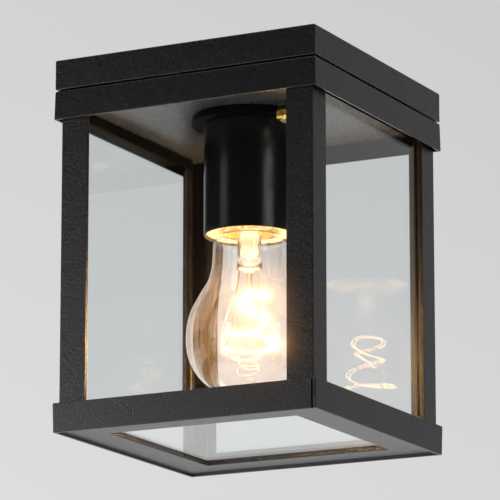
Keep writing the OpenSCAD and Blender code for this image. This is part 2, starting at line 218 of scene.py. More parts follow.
def glass(name, tint, tint2, ior, wave=0.02, wave_scale=9.0, haze=0.0):
    """Clear glass. Lamp light passes straight through it, so that it can light what lies behind.

    haze is a faint film on it, drawn out in upright streaks, that catches the light from inside."""
    m, k, b, where, out = material(name)
    n = k.noise(where, wave_scale, 1.0)
    k.put(b, "Base Color", k.ramp(n, [(0.35, tint), (0.65, tint2)]))
    k.put(b, "Roughness", 0.0)
    k.put(b, "IOR", ior)
    k.put(b, "Transmission Weight", 1.0)
    if wave:
        k.put(b, "Normal", k.bump(n, wave, 0.001))
    path = k.add("ShaderNodeLightPath")
    clear = k.add("ShaderNodeBsdfTransparent", {"Color": (0.93, 0.94, 0.93, 1)})
    passing = k.math("MAXIMUM", path.outputs["Is Shadow Ray"], path.outputs["Is Diffuse Ray"])
    mix = k.add("ShaderNodeMixShader", {0: passing, 1: b.outputs[0], 2: clear.outputs[0]})
    if haze:
        drawn = k.add("ShaderNodeMapping", {"Vector": where, "Scale": (1, 1, 0.06)}).outputs[0]
        amount = k.span(k.noise(drawn, 700, 3.0, 0.6), haze * 0.1, haze * 2.5, 0.42, 0.62)
        one = k.add("ShaderNodeBsdfDiffuse", {"Color": (1, 0.82, 0.68, 1)})
        two = k.add("ShaderNodeBsdfTranslucent", {"Color": (1, 0.82, 0.68, 1)})
        film = k.add("ShaderNodeMixShader", {0: 0.5, 1: one.outputs[0], 2: two.outputs[0]})
        mix = k.add("ShaderNodeMixShader", {0: amount, 1: mix.outputs[0], 2: film.outputs[0]})
    k.put(out, "Surface", mix.outputs[0])
    return m


def tape():
    """Dark brown glazing tape with a slight sheen."""
    m, k, b, where, _ = material("glazing_tape")
    n = k.noise(where, 700, 3.0)
    k.put(b, "Base Color", k.ramp(n, [(0.3, (0.012, 0.008, 0.006)), (0.7, (0.020, 0.014, 0.010))]))
    k.put(b, "Roughness", k.span(n, 0.28, 0.42))
    k.put(b, "Normal", k.bump(n, 0.15, 0.0001))
    return m


def glow(name, strength):
    """Tungsten at work: white-hot, a little warmer or cooler at random along the coil."""
    m, k, b, where, _ = material(name)
    n = k.noise(where, 300, 2.0)
    k.put(b, "Base Color", k.ramp(n, [(0.3, (0.5, 0.45, 0.4)), (0.7, (0.6, 0.55, 0.5))]))
    k.put(b, "Metallic", 1.0)
    k.put(b, "Roughness", 0.4)
    k.put(b, "Emission Color", k.ramp(n, [(0.2, (1.0, 0.53, 0.19)), (0.8, (1.0, 0.60, 0.25))]))
    k.put(b, "Emission Strength", strength)
    return m


def milky():
    """Milky glass: light soaks into it and comes out all round, and it has a painted glow of its own, brighter and
    dimmer in bands along its height, though it is no lamp.
    """
    m, k, b, where, out = material("milky_glass_painted_glow")
    n = k.noise(where, 240, 3.0)
    tint = k.ramp(n, [(0.3, (0.93, 0.88, 0.78)), (0.7, (0.96, 0.93, 0.86))])
    k.put(b, "Base Color", tint)
    k.put(b, "Roughness", 0.25)
    # painted glow: emission of its own, set by height, that stands in for the filament's light caught in the tube
    b.inputs["Emission Color"].default_value = (1.0, 0.90, 0.70, 1.0)
    down = k.add("ShaderNodeMapRange", {"Value": k.add("ShaderNodeSeparateXYZ", {0: where}).outputs[2],
                                        "From Min": -0.0920, "From Max": -0.0780, "To Min": 0.0, "To Max": 1.0})
    k.put(b, "Emission Strength", k.ramp(down.outputs["Result"], [
        (0.0, 0.35), (0.12, 0.9), (0.30, 0.8), (0.42, 0.12), (0.62, 0.10), (0.74, 0.9), (1.0, 1.0)]))
    through = k.add("ShaderNodeBsdfTranslucent", {"Color": tint})
    mix = k.add("ShaderNodeMixShader", {0: 0.5, 1: b.outputs[0], 2: through.outputs[0]})
    k.put(out, "Surface", mix.outputs[0])
    return m


M = {
    "powder_coat": powder_coat(),
    # the roof band's coat, dull on its inner face: painted shade there
    "band_coat_painted_shade": powder_coat("band_coat_painted_shade", painted_shade_inside=0.0694),
    # a lighter, cooler copy of the black coat: painted light on the roof plate's underside, cooled against the lamp's
    # warm light
    "roof_coat_painted_light": powder_coat("roof_coat_painted_light", (0.030, 0.032, 0.034), (0.036, 0.038, 0.041), (0.042, 0.045, 0.048)),
    "shroud_coat": powder_coat("shroud_coat", rough=(0.17, 0.24), grainy=0.40),
    # a darker copy of the coat with almost no gloss: painted shade on the rosette
    "rosette_coat_painted_shade": powder_coat("rosette_coat_painted_shade", (0.0008, 0.0007, 0.0006), (0.0014, 0.0012, 0.0011), (0.0022, 0.0019, 0.0018), 0.04),
    "rubber": rubber(),
    "seal_rubber_painted_shadow": shade_strip_rubber(),
    "terminal_plastic": plastic("terminal_plastic", (0.72, 0.71, 0.66), (0.80, 0.79, 0.74)),
    "zinc_steel": metal("zinc_steel", (0.50, 0.51, 0.53), (0.66, 0.67, 0.68), 0.24, 0.4),
    "black_steel": metal("black_steel", (0.012, 0.012, 0.012), (0.022, 0.021, 0.020), 0.35, 0.5),
    "brass": metal("brass", (0.70, 0.50, 0.20), (0.80, 0.60, 0.27), 0.25, 0.4),
    "polished_brass": metal("polished_brass", (0.93, 0.64, 0.13), (1.0, 0.74, 0.20), 0.18, 0.30, 700),
    "wire_brown": plastic("wire_brown", (0.10, 0.045, 0.02), (0.14, 0.065, 0.03)),
    "wire_blue": plastic("wire_blue", (0.02, 0.06, 0.26), (0.03, 0.09, 0.34)),
    "wire_green": plastic("wire_green", (0.22, 0.34, 0.03), (0.30, 0.42, 0.05)),
    "porcelain": porcelain(),
    "clear_glass": glass("clear_glass", (0.965, 1.0, 0.994), (0.975, 1.0, 0.997), 1.47),
    "lamp_glass": glass("lamp_glass", (0.985, 0.985, 0.98), (0.995, 0.995, 0.99), 1.50, 0.05, 60.0, 0.0052),
    "glazing_tape": tape(),
    "milky_glass_painted_glow": milky(),
    "cap_cement": plastic("cap_cement", (0.74, 0.47, 0.13), (0.84, 0.58, 0.20), 0.4, 0.6, 900),
    "solder": metal("solder", (0.55, 0.55, 0.54), (0.72, 0.72, 0.70), 0.3, 0.5),
    "nickel_cap": metal("nickel_cap", (0.60, 0.57, 0.52), (0.74, 0.71, 0.66), 0.2, 0.34),
    "cap_glass": plastic("cap_glass", (0.012, 0.012, 0.014), (0.02, 0.02, 0.022), 0.1, 0.2),
    "filament_glow": glow("filament_glow", 1050.0),
    "lead_wire": metal("lead_wire", (0.34, 0.32, 0.30), (0.50, 0.47, 0.44), 0.3, 0.45),
}

# ------------------------------------------------------------------ mesh helpers


def fillet(pts, seg=4, closed=True):
    """Corners (x, y, r) of a flat outline, with each corner rounded to its radius."""
    out, n = [], len(pts)
    for i, (x, y, r) in enumerate(pts):
        p = Vector((x, y))
        if r <= 0 or (not closed and i in (0, n - 1)):
            out.append((x, y))
            continue
        u, v = Vector(pts[i - 1][:2]) - p, Vector(pts[(i + 1) % n][:2]) - p
        lu, lv = u.length, v.length
        u, v = u / lu, v / lv
        ang = u.angle(v)
        if ang > math.pi - 0.01:
            out.append((x, y))
            continue
        t = min(r / math.tan(ang / 2), 0.49 * lu, 0.49 * lv)
        rr = t * math.tan(ang / 2)
        c = p + (u + v).normalized() * (rr / math.sin(ang / 2))
        s, e = p + u * t - c, p + v * t - c
        a0 = math.atan2(s.y, s.x)
        d = (math.atan2(e.y, e.x) - a0 + math.pi) % (2 * math.pi) - math.pi
        out += [(c.x + rr * math.cos(a0 + d * j / seg), c.y + rr * math.sin(a0 + d * j / seg))
                for j in range(seg + 1)]
    return out


def build(name, verts, faces, sharp=32):
    """A mesh from millimetre points, welded, with its normals outwards and its edges smooth up to an angle."""
    me = bpy.data.meshes.new(name)
    me.from_pydata([(x * MM, y * MM, z * MM) for x, y, z in verts], [], faces)
    tidy(me, sharp)
    return me


def tidy(me, sharp=32):
    bm = bmesh.new()
    bm.from_mesh(me)
    bmesh.ops.remove_doubles(bm, verts=bm.verts, dist=1e-6)
    bmesh.ops.dissolve_degenerate(bm, edges=bm.edges, dist=1e-7)
    bmesh.ops.recalc_face_normals(bm, faces=bm.faces)
    bm.to_mesh(me)
    bm.free()
    me.polygons.foreach_set("use_smooth", [True] * len(me.polygons))
    me.set_sharp_from_angle(angle=math.radians(sharp))
    me.update()


def piece(name, me, body, finish, *nodes, slot=None):
    slot = slot or finish
    ob = bpy.data.objects.new(name, me)
    scene.collection.objects.link(ob)
    if slot == "clear_glass":
        me.polygons.foreach_set("use_smooth", [False] * len(me.polygons))
    elif slot != "lamp_glass":
        # large faces keep their own normal, so that small rounded edges catch the light
        w = ob.modifiers.new("normals", "WEIGHTED_NORMAL")
        w.mode, w.weight, w.keep_sharp = "FACE_AREA", 60, True
    me.materials.clear()
    me.materials.append(M[finish])
    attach(ob, body)
    if nodes:
        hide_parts(*nodes)
    return ob


def joined(parts):
    """Several (verts, faces) as one."""
    verts, faces = [], []
    for v, f in parts:
        o = len(verts)
        verts += list(v)
        faces += [tuple(i + o for i in g) for g in f]
    return verts, faces


def lathe(profile, n=96, at=(0, 0), closed=True, radius=None):
    """A turned shape. radius(r, z, angle) may change the radius round the turn."""
    verts, faces, rings = [], [], []
    for r, z in profile:
        if r < 1e-5:
            rings.append([len(verts)])
            verts.append((at[0], at[1], z))
            continue
        base = len(verts)
        for k in range(n):
            a = 2 * math.pi * k / n
            q = radius(r, z, a) if radius else r
            verts.append((at[0] + q * math.cos(a), at[1] + q * math.sin(a), z))
        rings.append(list(range(base, base + n)))
    m = len(profile)
    for i in range(m if closed else m - 1):
        p, q = rings[i], rings[(i + 1) % m]
        if len(p) == 1 and len(q) == 1:
            continue
        for k in range(n):
            l = (k + 1) % n
            if len(p) == 1:
                faces.append((p[0], q[k], q[l]))
            elif len(q) == 1:
                faces.append((p[k], q[0], p[l]))
            else:
                faces.append((p[k], q[k], q[l], p[l]))
    return verts, faces


def square(h, rc, seg=6):
    """A square of half width h with rounded corners."""
    pts = []
    for q in range(4):
        cx = (h - rc) * (1 if q in (0, 3) else -1)
        cy = (h - rc) * (1 if q in (0, 1) else -1)
        pts += [(cx + rc * math.cos(math.radians(90 * (q + j / seg))),
                 cy + rc * math.sin(math.radians(90 * (q + j / seg)))) for j in range(seg + 1)]
    return pts


def square_sweep(profile, corner, loop=True, caps=(), seg=6):
    """A folded-sheet section (half width, level) run round a rounded square. corner(h, z) gives the corner radius."""
    verts, faces, m = [], [], len(profile)
    per = 4 * (seg + 1)
    for h, z in profile:
        verts += [(x, y, z) for x, y in square(h, corner(h, z), seg)]
    for i in range(m if loop else m - 1):
        p, q = i * per, ((i + 1) % m) * per
        for k in range(per):
            l = (k + 1) % per
            faces.append((p + k, q + k, q + l, p + l))
    for c in caps:
        faces.append(tuple(range(c * per, (c + 1) * per)))
    return verts, faces


def extrude(outline, z0, z1):
    """A flat outline (x, y) drawn up from z0 to z1."""
    n = len(outline)
    verts = [(x, y, z0) for x, y in outline] + [(x, y, z1) for x, y in outline]
    faces = [(k, (k + 1) % n, n + (k + 1) % n, n + k) for k in range(n)]
    faces += [tuple(range(n - 1, -1, -1)), tuple(range(n, 2 * n))]
    return verts, faces


def block(lo, hi, r=0.3, seg=2):
    """A box whose edges are ground to a small round arris."""
    (x0, y0, z0), (x1, y1, z1) = lo, hi
    base = fillet([(x0, y0, r), (x1, y0, r), (x1, y1, r), (x0, y1, r)], seg)
    n = len(base)
    cx, cy = (x0 + x1) / 2, (y0 + y1) / 2
    rows = []
    for j in range(seg + 1):
        a = math.pi / 2 * j / seg
        rows.append((r * (1 - math.sin(a)), z0 + r * (1 - math.cos(a))))
    rows = rows + [(d, z0 + z1 - z) for d, z in reversed(rows)]
    verts, faces = [], []
    for d, z in rows:
        inner = fillet([(x0 + d, y0 + d, max(r - d, 0.01)), (x1 - d, y0 + d, max(r - d, 0.01)),
                        (x1 - d, y1 - d, max(r - d, 0.01)), (x0 + d, y1 - d, max(r - d, 0.01))], seg)
        verts += [(x, y, z) for x, y in inner]
    for i in range(len(rows) - 1):
        for k in range(n):
            l = (k + 1) % n
            faces.append((i * n + k, i * n + l, (i + 1) * n + l, (i + 1) * n + k))
    faces.append(tuple(range(n - 1, -1, -1)))
    last = (len(rows) - 1) * n
    faces.append(tuple(range(last, last + n)))
    return verts, faces


def turned(part, degrees=0.0, shift=(0, 0, 0)):
    """A part turned about the vertical axis and moved."""
    c, s = math.cos(math.radians(degrees)), math.sin(math.radians(degrees))
    return [(x * c - y * s + shift[0], x * s + y * c + shift[1], z + shift[2]) for x, y, z in part[0]], part[1]


def tube(path, r, n=10, ref=(0, 0, 1), caps=True):
    """A round wire along points, with its section carried without twist."""
    pts = [Vector(p) for p in path]
    tan = [(pts[min(i + 1, len(pts) - 1)] - pts[max(i - 1, 0)]).normalized() for i in range(len(pts))]
    u = tan[0].cross(Vector(ref))
    if u.length < 1e-3:
        u = tan[0].cross(Vector((1, 0, 0)))
    u.normalize()
    verts, faces = [], []
    for i, p in enumerate(pts):
        u = (u - tan[i] * u.dot(tan[i])).normalized()
        v = tan[i].cross(u)
        rad = r(i / (len(pts) - 1)) if callable(r) else r
        verts += [tuple(p + u * (rad * math.cos(2 * math.pi * k / n)) + v * (rad * math.sin(2 * math.pi * k / n)))
                  for k in range(n)]
    for i in range(len(pts) - 1):
        for k in range(n):
            l = (k + 1) % n
            faces.append((i * n + k, i * n + l, (i + 1) * n + l, (i + 1) * n + k))
    if caps:
        faces.append(tuple(range(n - 1, -1, -1)))
        faces.append(tuple(range((len(pts) - 1) * n, len(pts) * n)))
    return verts, faces


def spline(pts, sub=6):
    """A smooth curve through points (centripetal Catmull-Rom)."""
    p = [Vector(q) for q in pts]
    p = [2 * p[0] - p[1]] + p + [2 * p[-1] - p[-2]]
    out = []
    for i in range(1, len(p) - 2):
        t = [0.0]
        for a, b in ((i - 1, i), (i, i + 1), (i + 1, i + 2)):
            t.append(t[-1] + max((p[b] - p[a]).length, 1e-6) ** 0.5)
        for j in range(sub):
            s = t[1] + (t[2] - t[1]) * j / sub
            a1 = p[i - 1] * ((t[1] - s) / (t[1] - t[0])) + p[i] * ((s - t[0]) / (t[1] - t[0]))
            a2 = p[i] * ((t[2] - s) / (t[2] - t[1])) + p[i + 1] * ((s - t[1]) / (t[2] - t[1]))
            a3 = p[i + 1] * ((t[3] - s) / (t[3] - t[2])) + p[i + 2] * ((s - t[2]) / (t[3] - t[2]))
            b1 = a1 * ((t[2] - s) / (t[2] - t[0])) + a2 * ((s - t[0]) / (t[2] - t[0]))
            b2 = a2 * ((t[3] - s) / (t[3] - t[1])) + a3 * ((s - t[1]) / (t[3] - t[1]))
            out.append(tuple(b1 * ((t[2] - s) / (t[2] - t[1])) + b2 * ((s - t[1]) / (t[2] - t[1]))))
    out.append(tuple(p[-2]))
    return out


def ease(pts, reach=4.0, k=6):
    """A path with its corners eased, for wires."""
    p = [Vector(q) for q in pts]
    out = [tuple(p[0])]
    for i in range(1, len(p) - 1):
        a, b, c = p[i - 1], p[i], p[i + 1]
        s = min(reach, (b - a).length / 2.2, (c - b).length / 2.2)
        q0, q1 = b - (b - a).normalized() * s, b + (c - b).normalized() * s
        for j in range(k + 1):
            f = j / k
            out.append(tuple(q0 * (1 - f) ** 2 + b * (2 * f * (1 - f)) + q1 * f ** 2))
    return out + [tuple(p[-1])]


def helix_rows(core, pitch, depth, z_top, z_bottom, step=0.22, n=64, hand=-1, at=(0, 0), fade=0.8):
    """Rows of a threaded rod from z_top down: the groove runs round as a true helix and fades out at its ends."""
    m = max(2, int((z_top - z_bottom) / step))
    verts, faces = [], []
    for i in range(m + 1):
        z = z_top + (z_bottom - z_top) * i / m
        edge = min(1.0, (z_top - z) / fade, (z - z_bottom) / fade)
        for k in range(n):
            a = 2 * math.pi * k / n
            ph = z / pitch + hand * a / (2 * math.pi)
            w = 0.5 - 0.5 * math.cos(2 * math.pi * ph)
            r = core - depth * max(0.0, edge) * w
            verts.append((at[0] + r * math.cos(a), at[1] + r * math.sin(a), z))
    for i in range(m):
        for k in range(n):
            l = (k + 1) % n
            faces.append((i * n + k, (i + 1) * n + k, (i + 1) * n + l, i * n + l))
    return verts, faces, m, n


def cut(me, cutters, sharp=32):
    """The mesh less the cutters, by an exact Boolean."""
    ob = bpy.data.objects.new("cut", me)
    scene.collection.objects.link(ob)
    v, f = joined(cutters)
    tool = bpy.data.objects.new("tool", build("tool", v, f))
    scene.collection.objects.link(tool)
    mod = ob.modifiers.new("cut", "BOOLEAN")
    mod.operation, mod.object, mod.solver = "DIFFERENCE", tool, "EXACT"
    dg = bpy.context.evaluated_depsgraph_get()
    new = bpy.data.meshes.new_from_object(ob.evaluated_get(dg))
    new.name = me.name
    bpy.data.objects.remove(ob)
    bpy.data.objects.remove(tool)
    tidy(new, sharp)
    return new


def disc(r, z0, z1, at=(0, 0), n=64):
    return lathe([(0, z1), (r, z1), (r, z0), (0, z0)], n, at, closed=False)


# ------------------------------------------------------------------ levels and sizes, as in the CAD model
T = 1.4
Z_BASE, Z_BAND, Z_BRIM, Z_ROOF = -14.7, -15.3, -29.7, -21.2
Z_RIM, Z_RING, Z_SEAT = -183.0, -168.7, -180.35
Z_SHROUD, Z_LAMP, Z_CAP, Z_BALL = -25.0, -53.2, -79.7, -131.3
STUDS = ((30.0, -19.5), (-30.0, 19.5))


# ------------------------------------------------------------------ ceiling base tray
def make_base():
    a, w = 70.0, 70.0 - T
    prof = fillet([(60.0, 0.0, 0), (a, 0.0, 0.75), (a, Z_BASE, 0.28), (w, Z_BASE, 0.28),
                   (w, -T, 0.5), (60.0, -T, 0)], 5, closed=False)
    v, f = square_sweep(prof, lambda h, z: 0.4 if h > 69.0 else 0.3, loop=False, seg=6)
    per = 4 * 7
    f.append(tuple(range(per)))
    f.append(tuple(range((len(prof) - 1) * per, len(prof) * per)))
    me = build("ceiling_base", v, f)
    holes = [disc(2.5, -5, 5, (s * 40.0, 0)) for s in (1, -1)]
    holes += [disc(7.05, -5, 5, (0, -34)), disc(1.7, -5, 5, (-36, 26), 40)]
    return cut(me, holes)


piece("ceiling_base_tray", make_base(), "housing", "powder_coat", "ceiling_base")


def make_grommet():
    r = 4.25
    prof = fillet([(r, 0.0, 0.4), (r + 2.75, 0.0, 0.3), (r + 2.75, -T, 0.1), (r + 5, -T, 0.5),
                   (r + 5, -T - 1.9, 0.7), (r + 2.2, -T - 2.1, 0.3), (r + 1.6, -T - 5, 0.6),
                   (r, -T - 5, 0.4)], 4)
    return build("cable_grommet", *lathe(prof, 64, (0, -34)))


piece("cable_grommet_bush", make_grommet(), "housing", "rubber", "cable_grommet")


# ------------------------------------------------------------------ wiring inside the base
def make_terminal():
    parts = []
    for i in (-1, 0, 1):
        parts.append(block((i * 10 - 5.0 + 0.02, 28, -T - 9.5), (i * 10 + 5.0 - 0.02, 44, -T), 0.5, 3))
        parts.append(block((i * 10 - 3.6, 28, -T - 11.6), (i * 10 + 3.6, 44, -T - 9.0), 0.6, 3))
    me = build("terminal_block", *joined(parts))
    tools = []
    for i in (-1, 0, 1):
        v, f = disc(1.7, -9, 9, (0, 0), 32)
        tools.append(([(x + i * 10, z + 36, -T - 6 + y) for x, y, z in v], f))
        for s in (1, -1):
            tools.append(disc(1.75, -T - 12, -T - 6, (i * 10, 36 + s * 4.4), 32))
    return cut(me, tools)


piece("terminal_block_3way", make_terminal(), "housing", "terminal_plastic", "terminal_block")


def make_screws():
    """Slotted grub screws."""
    out = []
    for i in (-1, 0, 1):
        for s in (1, -1):
            x, y = i * 10, 36 + s * 4.4
            prof = fillet([(0, -T - 10.8, 0), (1.6, -T - 10.8, 0.25), (1.6, -T - 7.6, 0.2), (0, -T - 7.6, 0)], 3, False)
            me = build("s", *lathe(prof, 32, (x, y), closed=False))
            me = cut(me, [block((x - 2.2, y - 0.3, -T - 11.4), (x + 2.2, y + 0.3, -T - 10.0), 0.05, 1)])
            out.append(me)
    return out


def merge_meshes(name, meshes):
    bm = bmesh.new()
    for me in meshes:
        bm.from_mesh(me)
    new = bpy.data.meshes.new(name)
    bm.to_mesh(new)
    bm.free()
    tidy(new)
    return new


piece("terminal_screws_6", merge_meshes("terminal_screws", make_screws()), "housing", "zinc_steel", "terminal_screws")

WIRE = 1.1
Z_IN = -T - 6
Z_FLOOR = Z_SHROUD - 24.5
piece("live_wire_run", build("live_wire", *tube(ease([(0, 28.5, Z_IN), (-0.8, 20, Z_IN - 1.5), (-1.5, 0, Z_IN - 1.5),
      (-1.5, 0, Z_SHROUD - 10), (-6, 0, Z_FLOOR + 4), (-6, 0, Z_FLOOR + 0.1)]), WIRE, 16)), "housing", "wire_brown", "live_wire")
piece("neutral_wire_run", build("neutral_wire", *tube(ease([(10, 28.5, Z_IN), (10, 18, Z_IN - 1.5), (1.5, 0, Z_IN - 1.5),
      (1.5, 0, Z_SHROUD - 10), (10.8, 0, Z_FLOOR + 4.5), (10.8, 0, Z_FLOOR + 0.1)]), WIRE, 16)), "housing", "wire_blue", "neutral_wire")
piece("earth_wire_run", build("earth_wire", *tube(ease([(-10, 28.5, Z_IN), (-12, 21, Z_IN), (-20, 20, -T - 2.6),
      (-25, 26, -T - 1.9), (-27.4, 26, -T - 1.7)]), WIRE * 0.9, 16)), "housing", "wire_green", "earth_wire")


# ------------------------------------------------------------------ studs, sleeves, seals, washers and thumb nuts
def make_studs():
    parts = []
    for at in STUDS:
        v, f, m, n = helix_rows(2.0, 0.7, 0.28, -2.9, -31.25, 0.09, 40, -1, at)
        # weld flange above the thread, dog point below it
        v += [(at[0] + r * math.cos(2 * math.pi * k / n), at[1] + r * math.sin(2 * math.pi * k / n), z)
              for r, z in ((2.0, -2.4), (4.4, -2.4), (4.4, -1.9), (4.2, -1.4), (1.55, -31.6)) for k in range(n)]
        base = (m + 1) * n
        for k in range(n):
            l = (k + 1) % n
            f.append((base + k, k, l, base + l))
            for i in range(3):
                f.append((base + (i + 1) * n + k, base + i * n + k, base + i * n + l, base + (i + 1) * n + l))
            f.append((m * n + k, base + 4 * n + k, base + 4 * n + l, m * n + l))
        f.append(tuple(range(base + 3 * n, base + 4 * n)))
        f.append(tuple(range(base + 5 * n - 1, base + 4 * n - 1, -1)))
        parts.append((v, f))
    return build("mounting_studs", *joined(parts), sharp=40)


piece("mounting_studs_m4", make_studs(), "housing", "zinc_steel", "mounting_studs")


def ring_pieces(name, prof, slot, body="housing", nodes=(), n=64, spots=STUDS, radius=None):
    me = build(name, *joined([lathe(prof, n, at, radius=radius) for at in spots]))
    return piece(name, me, body, slot, *nodes)


ring_pieces("spacer_sleeves_2", fillet([(2.15, -2.4, 0.15), (4.0, -2.4, 0.25), (4.0, -15.3, 0.25), (2.15, -15.3, 0.15)], 3),
            "zinc_steel", nodes=("spacer_sleeves",))
ring_pieces("seal_washers_2", fillet([(2.2, -21.2, 0.2), (4.0, -21.2, 0.2), (4.15, -22.4, 0.9), (4.0, -23.6, 0.2), (2.2, -23.6, 0.2)], 5),
            "rubber", nodes=("seal_washers",))
for tag, at in (("a", STUDS[0]), ("b", STUDS[1])):
    ring_pieces("washer_disc_" + tag, fillet([(2.2, -23.6, 0.12), (4.3, -23.6, 0.3), (4.3, -24.8, 0.35), (2.2, -24.8, 0.12)], 4),
                "black_steel", "washer_" + tag + "_body", ("washer_" + tag,), spots=(at,))


def make_nut(at):
    """Straight-knurled brass thumb nut: domed shoulders, teeth fading into them, a chamfered bore."""
    top, h, r = -24.8, 5.8, 4.7
    rows = fillet([(2.1, top - 0.35, 0), (2.45, top, 0.0), (r - 1.15, top, 0.35), (r, top - 1.25, 0.55),
                   (r, top - h + 1.3, 0.8), (r - 1.5, top - h, 0.45), (2.5, top - h, 0.0), (2.1, top - h + 0.4, 0)], 5)
    teeth, n = 26, 208

    def knurl(q, z, a):
        if q < 3.5:
            return q
        d = min(top - z, z - (top - h))
        mask = max(0.0, min(1.0, (d - 0.25) / 0.9)) * (1 if q > 3.9 else 0)
        w = abs(((a * teeth / (2 * math.pi)) % 1.0) - 0.5) * 2
        return q - 0.32 * mask * w

    extra = []
    for i, p in enumerate(rows):
        extra.append(p)
        nx = rows[(i + 1) % len(rows)]
        gap = math.dist(p, nx)
        if gap > 0.9:
            k = int(gap / 0.45)
            extra += [(p[0] + (nx[0] - p[0]) * j / k, p[1] + (nx[1] - p[1]) * j / k) for j in range(1, k)]
    return build("thumb_nut", *lathe(extra, n, at, radius=knurl), sharp=26)


for tag, at in (("a", STUDS[0]), ("b", STUDS[1])):
    piece("thumb_nut_knurled_" + tag, make_nut(at), "nut_" + tag, "polished_brass", "thumb_nut_" + tag)


# ------------------------------------------------------------------ roof band and plate
def make_band():
    fl = 0.3

    def half(z, at_top):
        return at_top + fl * (Z_BAND - z) / (Z_BAND - Z_BRIM)

    prof = fillet([(60.0, Z_BAND, 0), (half(Z_BAND, 70.0), Z_BAND, 1.25), (half(Z_BRIM, 70.0), Z_BRIM, 0.25),
                   (half(Z_BRIM, 68.6), Z_BRIM, 0.25), (half(Z_BAND - T, 68.6), Z_BAND - T, 0.4),
                   (60.0, Z_BAND - T, 0)], 6, closed=False)
    v, f = square_sweep(prof, lambda h, z: 0.4 if h > 69.2 else 0.3, loop=False, seg=6)
    per = 4 * 7
    f.append(tuple(range(per)))
    f.append(tuple(range((len(prof) - 1) * per, len(prof) * per)))
    me = build("roof_band", v, f)
    return cut(me, [disc(5.1, -20, -14)] + [disc(2.3, -20, -14, at, 48) for at in STUDS])


# the roof band takes the coat with painted shade on its inner face
piece("roof_band_folded", make_band(), "housing", "band_coat_painted_shade", "roof_band", slot="powder_coat")


def make_plate():
    h = 67.9
    prof = fillet([(60.0, Z_ROOF, 0), (h, Z_ROOF, 1.6), (h, Z_BAND - T, 0.1), (h - T, Z_BAND - T, 0.1),
                   (h - T, Z_ROOF + T, 0.4), (60.0, Z_ROOF + T, 0)], 6, closed=False)
    v, f = square_sweep(prof, lambda q, z: 1.0 if q > h - 0.9 else 0.3, loop=False, seg=6)
    per = 4 * 7
    f.append(tuple(range(per)))
    f.append(tuple(range((len(prof) - 1) * per, len(prof) * per)))
    me = build("roof_plate", v, f)
    return cut(me, [disc(5.1, -25, -14)] + [disc(2.3, -25, -14, at, 48) for at in STUDS])


# the roof plate takes the lighter copy of the coat: painted light
piece("roof_plate_folded", make_plate(), "housing", "roof_coat_painted_light", "roof_plate", slot="powder_coat")


def make_nipple():
    v, f, m, n = helix_rows(5.0, 1.0, 0.35, -11.6, -32.7, 0.14, 56, -1)
    rings = ((4.7, -11.3), (3.8, -11.3), (3.6, -11.5), (3.6, -32.8), (3.8, -33.0), (4.7, -33.0))
    v += [(r * math.cos(2 * math.pi * k / n), r * math.sin(2 * math.pi * k / n), z) for r, z in rings for k in range(n)]
    base = (m + 1) * n
    for k in range(n):
        l = (k + 1) % n
        f.append((base + k, k, l, base + l))
        for i in range(5):
            f.append((base + (i + 1) * n + k, base + i * n + k, base + i * n + l, base + (i + 1) * n + l))
        f.append((m * n + k, base + 5 * n + k, base + 5 * n + l, m * n + l))
    return build("nipple", v, f, sharp=40)


piece("nipple_m10", make_nipple(), "housing", "zinc_steel", "nipple")


def make_hex_nut():
    """Hexagon nut with its corners chamfered by a turned cone."""
    n = 96

    def hexed(q, z, a):
        if q < 6.0:
            return q
        w = (a + math.pi / 6) % (math.pi / 3) - math.pi / 6
        flat = 8.1 * math.cos(math.pi / 6) / math.cos(w)
        return min(q, flat)

    prof = [(5.0, -15.3), (7.0, -15.3), (8.1, -15.3), (8.1, -14.6), (8.1, -13.2), (7.9, -12.75), (7.2, -12.3), (5.5, -12.3), (5.0, -12.6)]
    v, f = lathe(prof, n, radius=lambda q, z, a: hexed(q, z, a) if q > 6.8 else q)
    return build("nipple_nut", v, f)


piece("nipple_nut_hex", make_hex_nut(), "housing", "zinc_steel", "nipple_nut")

# ------------------------------------------------------------------ rosette, shroud and lampholder
# the rosette takes the darker, glossless copy of the coat: painted shade
piece("rosette_disc", build("rosette", *lathe(fillet([(5.1, Z_ROOF, 0.1), (28.3, Z_ROOF, 0.25), (28.3, Z_SHROUD, 0.25), (5.1, Z_SHROUD, 0.1)], 5), 160)),
      "housing", "rosette_coat_painted_shade", "rosette", slot="powder_coat")

SHROUD_END = Z_SHROUD - 55.4
piece("shroud_tube", build("shroud", *lathe(fillet([
    (5.1, Z_SHROUD, 0.1), (22.25, Z_SHROUD, 0.7), (22.25, SHROUD_END, 0.3), (21.55, SHROUD_END, 0.25),
    (21.55, SHROUD_END + 8.4, 0.2), (20.9, SHROUD_END + 8.4, 0.2),
    (20.9, Z_SHROUD - 1.35, 0.3), (5.1, Z_SHROUD - 1.35, 0.1)], 5), 192)),
      "housing", "shroud_coat", "shroud", slot="powder_coat")

Z_MOUTH = SHROUD_END + 1.4


